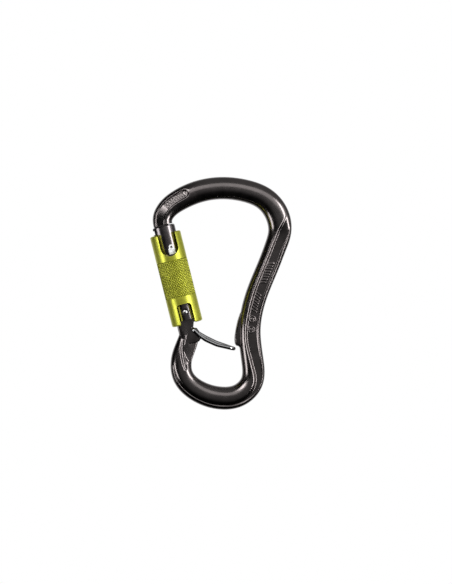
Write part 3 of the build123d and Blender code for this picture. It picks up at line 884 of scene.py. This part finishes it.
def floor_sheet():
    """Pale matt studio floor."""
    n = Nodes("pale_floor")
    colour = n.mix(n.between(n.noise(6, 3), 0.3, 0.7, 0, 1), (0.80, 0.80, 0.80), (0.84, 0.84, 0.84))
    uneven = n.between(n.noise(14, 2), 0.3, 0.7, 0.75, 0.85)
    return n.finish(Base_Color=colour, Roughness=uneven, Emission_Color=(1, 1, 1), Emission_Strength=0.35)


# Lighter colour on the dark metal's convex edges: scuffing and a painted edge highlight
DARK_SCUFF_AND_HIGHLIGHT = (0.36, 0.34, 0.33)
DARK_EDGES = (0.62, 0.78)
DARK_GRAIN = 0.12
frame_metal = anodised(
    "dark_anodised", dark=(0.172, 0.154, 0.152), light=(0.212, 0.190, 0.187), rough=(0.17, 0.24),
    scuff_and_highlight_colour=DARK_SCUFF_AND_HIGHLIGHT, edges=DARK_EDGES, grain=DARK_GRAIN)
gate_metal = anodised(
    "dark_anodised_gate", dark=(0.165, 0.148, 0.150), light=(0.205, 0.184, 0.188), rough=(0.18, 0.25),
    scuff_and_highlight_colour=DARK_SCUFF_AND_HIGHLIGHT, edges=DARK_EDGES, grain=DARK_GRAIN)
# Lime sleeve: painted shade darkens its knurl grooves, and its convex edges turn lighter for scuffing and a
# painted highlight
lime_metal = anodised(
    "lime_anodised", dark=(0.50, 0.515, 0.050), light=(0.58, 0.595, 0.068), rough=(0.31, 0.39),
    scuff_and_highlight_colour=(0.72, 0.73, 0.28), edges=(0.60, 0.75), grain=0.2, metallic=0.7, painted_groove_shade=(0.10, 0.10, 0.045))
rivet_steel = steel("rivet_steel", (0.50, 0.50, 0.51), (0.66, 0.66, 0.67), (0.22, 0.34))
wire_steel = steel("wire_steel", (0.38, 0.38, 0.385), (0.50, 0.50, 0.505), (0.10, 0.18), (1, 1, 0.2))
spring_steel = steel("spring_steel", (0.40, 0.40, 0.41), (0.54, 0.54, 0.55), (0.25, 0.38))

# ---------------------------------------------------------------- pieces

forged = make_frame()
sleeve = make_sleeve()
mark = make_padlock_mark()
gate_coil = make_coil("gate_spring_coil", GATE_COIL, PLUNGER_TOP + COIL_GAP, BORE_TOP - COIL_GAP)
sleeve_coil = make_coil("sleeve_spring_coil", SLEEVE_COIL, WASHER_TOP + COIL_GAP, WAIST_TOP - COIL_GAP)
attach(forged, "frame")
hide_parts("frame")
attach(sleeve, "sleeve")
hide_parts("locking_sleeve")
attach(mark, "gate")
for piece, node_name in ((gate_coil, "gate_spring"), (sleeve_coil, "sleeve_spring")):
    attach(piece, "gate")
    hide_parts(node_name)

for coil, joint, top, low, travel in ((gate_coil, "plunger_slide", BORE_TOP, PLUNGER_TOP, PLUNGER_TRAVEL),
                                     (sleeve_coil, "sleeve_lift", WAIST_TOP, WASHER_TOP, SLEEVE_TRAVEL)):
    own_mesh(coil)

nodes = frame["nodes"]
for piece, finish in (
    (forged, frame_metal),
    (sleeve, lime_metal),
    (mark, print_ink()),
    (gate_coil, spring_steel),
    (sleeve_coil, spring_steel),
    (nodes["gate"], gate_metal),
    (nodes["hinge_rivet"], rivet_steel),
    (nodes["gate_plunger"], spring_steel),
    (nodes["sleeve_retaining_ring"], lime_metal),
    (nodes["spring_washer"], spring_steel),
    (nodes["guide_pin"], spring_steel),
    (nodes["wire_bar"], wire_steel),
):
    piece.data.materials.clear()
    piece.data.materials.append(finish)

# ---------------------------------------------------------------- studio, in metres

LIGHT_TARGET = Vector((0.001, 0, -0.046))
FLOOR_HALF = 0.4
FLOOR_HEIGHT = -0.26
CAMERA_TARGET = Vector((0.00125, 0, -0.0463))
CAMERA_TURN = radians(-5)
CAMERA_DISTANCE = 0.973

scene = bpy.context.scene
scene.view_settings.view_transform = "Standard"
scene.view_settings.look = "None"


def direction_from(azimuth, elevation):
    """Unit vector towards a place round the object; azimuth 0 is the front."""
    return Vector((sin(azimuth) * cos(elevation), -cos(azimuth) * cos(elevation), sin(elevation)))


def area_light(name, azimuth, elevation, distance, size, radiance):
    """Soft rectangular light aimed at the object."""
    lamp = bpy.data.lights.new(name, "AREA")
    lamp.shape = "RECTANGLE"
    lamp.size, lamp.size_y = size
    lamp.energy = radiance * pi * size[0] * size[1]
    made = bpy.data.objects.new(name, lamp)
    scene.collection.objects.link(made)
    away = direction_from(radians(azimuth), radians(elevation))
    made.location = LIGHT_TARGET + away * distance
    made.rotation_euler = away.to_track_quat("Z", "Y").to_euler()


area_light("overhead_front", 5, 27, 0.8, (1.1, 0.40), 0.85)
area_light("upper_left", -31, 30, 0.8, (0.36, 0.28), 4.8)
area_light("right_strip", 51, 3, 0.8, (0.24, 0.80), 8.0)
area_light("right_wide", 66, 8, 0.9, (0.60, 0.80), 0.5)
area_light("left_strip", -67, -14, 0.8, (0.30, 0.42), 4.5)

world = bpy.data.worlds.new("studio")
scene.world = world
world.use_nodes = True
tree = world.node_tree
tree.nodes.clear()


def world_node(kind, *sources):
    """New node of the world, with its first inputs linked."""
    node = tree.nodes.new(kind)
    for socket, source in zip(node.inputs, sources):
        tree.links.new(source, socket)
    return node


def ramp(part, from_low, from_high, low, high):
    """Smooth ramp over one part of the direction that a ray goes in."""
    node = world_node("ShaderNodeMapRange", part)
    node.interpolation_type = "SMOOTHSTEP"
    for key, number in zip(RANGE_SOCKETS, (from_low, from_high, low, high)):
        node.inputs[key].default_value = number
    return node.outputs["Result"]


# The room is bright behind the object; elsewhere it is dim, and nearly black on the left and low down
split = world_node("ShaderNodeSeparateXYZ", world_node("ShaderNodeTexCoord").outputs["Generated"])
behind = ramp(split.outputs["Y"], 0.5, 0.92, 0.0, 1.0)
rise = ramp(split.outputs["Z"], -0.55, 0.3, 0.004, 0.25)
side = ramp(split.outputs["X"], -0.5, -0.05, 0.02, 1.0)
ahead = world_node("ShaderNodeMath", rise, side)
ahead.operation = "MULTIPLY"
strength = world_node("ShaderNodeMath", behind, ahead.outputs[0])
strength.operation = "MAXIMUM"
room = tree.nodes.new("ShaderNodeBackground")
tree.links.new(strength.outputs[0], room.inputs["Strength"])

# The camera itself sees plain white
clear = tree.nodes.new("ShaderNodeBackground")
clear.inputs["Color"].default_value = (1, 1, 1, 1)
clear.inputs["Strength"].default_value = 1.0
from_camera = world_node("ShaderNodeLightPath").outputs["Is Camera Ray"]
choose = world_node("ShaderNodeMixShader", from_camera, room.outputs[0], clear.outputs[0])
world_node("ShaderNodeOutputWorld", choose.outputs[0])

floor_sides = ((-1, -1), (1, -1), (1, 1), (-1, 1))
floor_corners = [(x * FLOOR_HALF, y * FLOOR_HALF, FLOOR_HEIGHT) for x, y in floor_sides]
floor = mesh_object("studio_floor", floor_corners, [(0, 1, 2, 3)])
floor.data.materials.append(floor_sheet())
floor.visible_glossy = False

camera_data = bpy.data.cameras.new("camera")
camera_data.lens, camera_data.sensor_width, camera_data.sensor_fit = 120, 36, "AUTO"
camera = bpy.data.objects.new("camera", camera_data)
scene.collection.objects.link(camera)
camera.location = CAMERA_TARGET + CAMERA_DISTANCE * direction_from(CAMERA_TURN, 0)
camera.rotation_euler = (CAMERA_TARGET - camera.location).to_track_quat("-Z", "Y").to_euler()
scene.camera = camera
